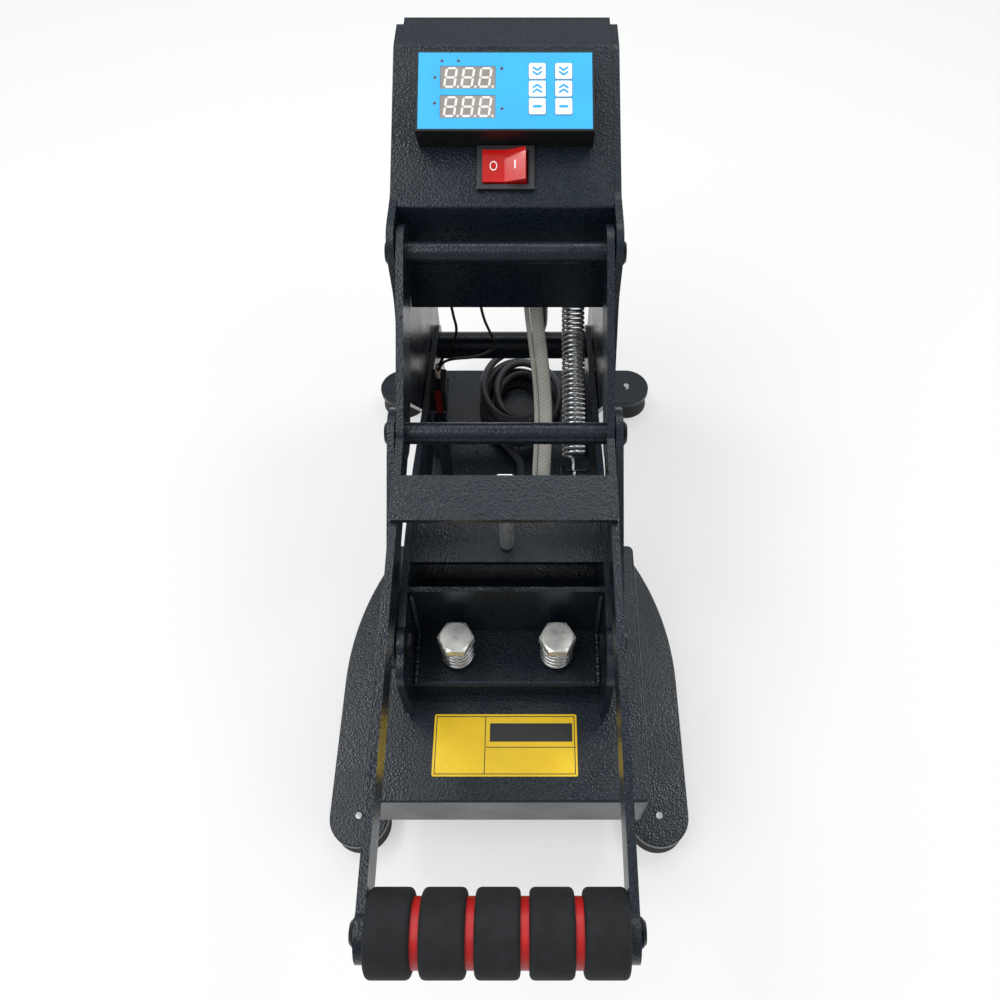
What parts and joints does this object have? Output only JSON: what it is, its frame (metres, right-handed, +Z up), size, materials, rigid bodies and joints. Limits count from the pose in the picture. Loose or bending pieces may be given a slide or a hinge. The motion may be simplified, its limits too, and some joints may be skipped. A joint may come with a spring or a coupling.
{
  "type": "clamshell heat press",
  "caption": "Small black clamshell heat press with a foam grip, a toggle lever, a sprung heater plate, a blue two-display controller and a red rocker switch.",
  "frame": {"origin": "on the bench, at the middle of the footprint that runs from the front of the grip to the back edge of the base", "axes": "+X to the right seen from the front, +Y towards the back, +Z up; the front, with the grip, faces -Y"},
  "size_m": [0.225, 0.4896, 0.3311],
  "materials": {
    "black_powder_coat": "hammertone gloss",
    "zinc_bolts": "satin",
    "bright_steel": "satin",
    "chrome": "polished",
    "spring_steel": "polished",
    "rubber_black": "matte",
    "foam_black": "matte",
    "grip_red": "satin",
    "silicone": "matte",
    "housing_black": "satin",
    "face_blue": "satin",
    "window_grey": "gloss",
    "key_white": "satin",
    "board_green": "satin",
    "bezel_black": "satin",
    "rocker_red": "gloss",
    "cord_black": "satin",
    "braided_white": "matte",
    "lead_black": "satin",
    "switch_black": "satin",
    "plunger_red": "satin",
    "heater_alloy": "satin",
    "insulation_white": "matte"
  },
  "bodies": {
    "frame": {"base_plate": "black_powder_coat", "rubber_feet": "rubber_black", "foot_screws": "chrome", "platen_bracket": "black_powder_coat", "lower_platen": "black_powder_coat", "silicone_pad": "silicone", "base_bolts": "zinc_bolts", "frame_plate_left": "black_powder_coat", "frame_plate_right": "black_powder_coat", "frame_stay": "bright_steel", "hinge_bolt": "zinc_bolts", "lever_bolt": "zinc_bolts", "trip_post": "black_powder_coat", "control_box_cover": "black_powder_coat", "control_box_back": "black_powder_coat", "controller_housing": "housing_black", "controller_face": "face_blue", "display_windows": "window_grey", "controller_board": "board_green", "rocker_bezel": "bezel_black", "cord_gland": "rubber_black", "power_cord": "cord_black", "cord_hank": "cord_black", "mains_plug": "rubber_black", "heater_sleeve": "braided_white", "control_leads": "lead_black", "lift_spring": "spring_steel"},
    "handle": {"handle_arm_left": "black_powder_coat", "handle_arm_right": "black_powder_coat", "lever_tubes": "black_powder_coat", "handle_crossbar": "black_powder_coat", "grip_tube": "bright_steel", "grip_sleeve": "grip_red", "foam_grip": "foam_black", "grip_screws": "chrome", "stop_bolt": "zinc_bolts", "link_bolt": "zinc_bolts"},
    "links": {"link_left": "black_powder_coat", "link_right": "black_powder_coat", "link_pins": "zinc_bolts"},
    "carriage": {"carriage_plate_left": "black_powder_coat", "carriage_plate_right": "black_powder_coat", "cross_channel": "black_powder_coat", "carriage_deck": "black_powder_coat", "hinge_tube": "black_powder_coat", "carriage_studs": "zinc_bolts", "limit_switch": "switch_black", "platen_springs": "spring_steel"},
    "platen": {"heater_cover": "black_powder_coat", "heater_block": "heater_alloy", "insulation": "insulation_white", "platen_bolts": "chrome"},
    "plunger": {"switch_plunger": "plunger_red"},
    "rocker_body": {"rocker": "rocker_red"},
    "key_down_left_body": {"key_down_left": "key_white"},
    "key_down_right_body": {"key_down_right": "key_white"},
    "key_up_left_body": {"key_up_left": "key_white"},
    "key_up_right_body": {"key_up_right": "key_white"},
    "key_set_left_body": {"key_set_left": "key_white"},
    "key_set_right_body": {"key_set_right": "key_white"}
  },
  "joints": [
    {"name": "handle_pivot", "type": "hinge", "parent": "frame", "child": "handle", "pos_m": [0, 0.1055, 0.265], "axis": [-1, 0, 0], "range_deg": [0, 90]},
    {"name": "link_pivot", "type": "hinge", "parent": "handle", "child": "links", "pos_m": [0, 0.0235, 0.2105], "axis": [-1, 0, 0], "range_deg": [-106.2, 0]},
    {"name": "platen_hinge", "type": "hinge", "parent": "frame", "child": "carriage", "pos_m": [0, 0.1925, 0.1], "axis": [-1, 0, 0], "range_deg": [0, 26.05], "deforming": ["lift_spring", "heater_sleeve", "control_leads"]},
    {"name": "platen_float", "type": "slide", "parent": "carriage", "child": "platen", "axis": [0, 0, -1], "range_m": [0, 0.0015], "stiffness_N_per_m": 4000, "springref_m": -0.015, "deforming": ["platen_springs"]},
    {"name": "switch_plunger_slide", "type": "slide", "parent": "carriage", "child": "plunger", "axis": [0, 0, -1], "range_m": [0, 0.002]},
    {"name": "rocker_switch", "type": "hinge", "parent": "frame", "child": "rocker_body", "pos_m": [0, 0.1415, 0.29152], "axis": [0, 0.9026, 0.4305], "range_deg": [0, 18]},
    {"name": "key_down_left_press", "type": "slide", "parent": "frame", "child": "key_down_left_body", "axis": [0, 0.4305, -0.9026], "range_m": [0, 0.0005], "stiffness_N_per_m": 800},
    {"name": "key_down_right_press", "type": "slide", "parent": "frame", "child": "key_down_right_body", "axis": [0, 0.4305, -0.9026], "range_m": [0, 0.0005], "stiffness_N_per_m": 800},
    {"name": "key_up_left_press", "type": "slide", "parent": "frame", "child": "key_up_left_body", "axis": [0, 0.4305, -0.9026], "range_m": [0, 0.0005], "stiffness_N_per_m": 800},
    {"name": "key_up_right_press", "type": "slide", "parent": "frame", "child": "key_up_right_body", "axis": [0, 0.4305, -0.9026], "range_m": [0, 0.0005], "stiffness_N_per_m": 800},
    {"name": "key_set_left_press", "type": "slide", "parent": "frame", "child": "key_set_left_body", "axis": [0, 0.4305, -0.9026], "range_m": [0, 0.0005], "stiffness_N_per_m": 800},
    {"name": "key_set_right_press", "type": "slide", "parent": "frame", "child": "key_set_right_body", "axis": [0, 0.4305, -0.9026], "range_m": [0, 0.0005], "stiffness_N_per_m": 800}
  ],
  "couplings": [
    {"joint": "link_pivot", "follows": "handle_pivot", "ratio": -1.1803},
    {"joint": "platen_hinge", "follows": "handle_pivot", "ratio": 0.28947},
    {"joint": "switch_plunger_slide", "follows": "handle_pivot", "m_per_rad": 0.0012732}
  ]
}
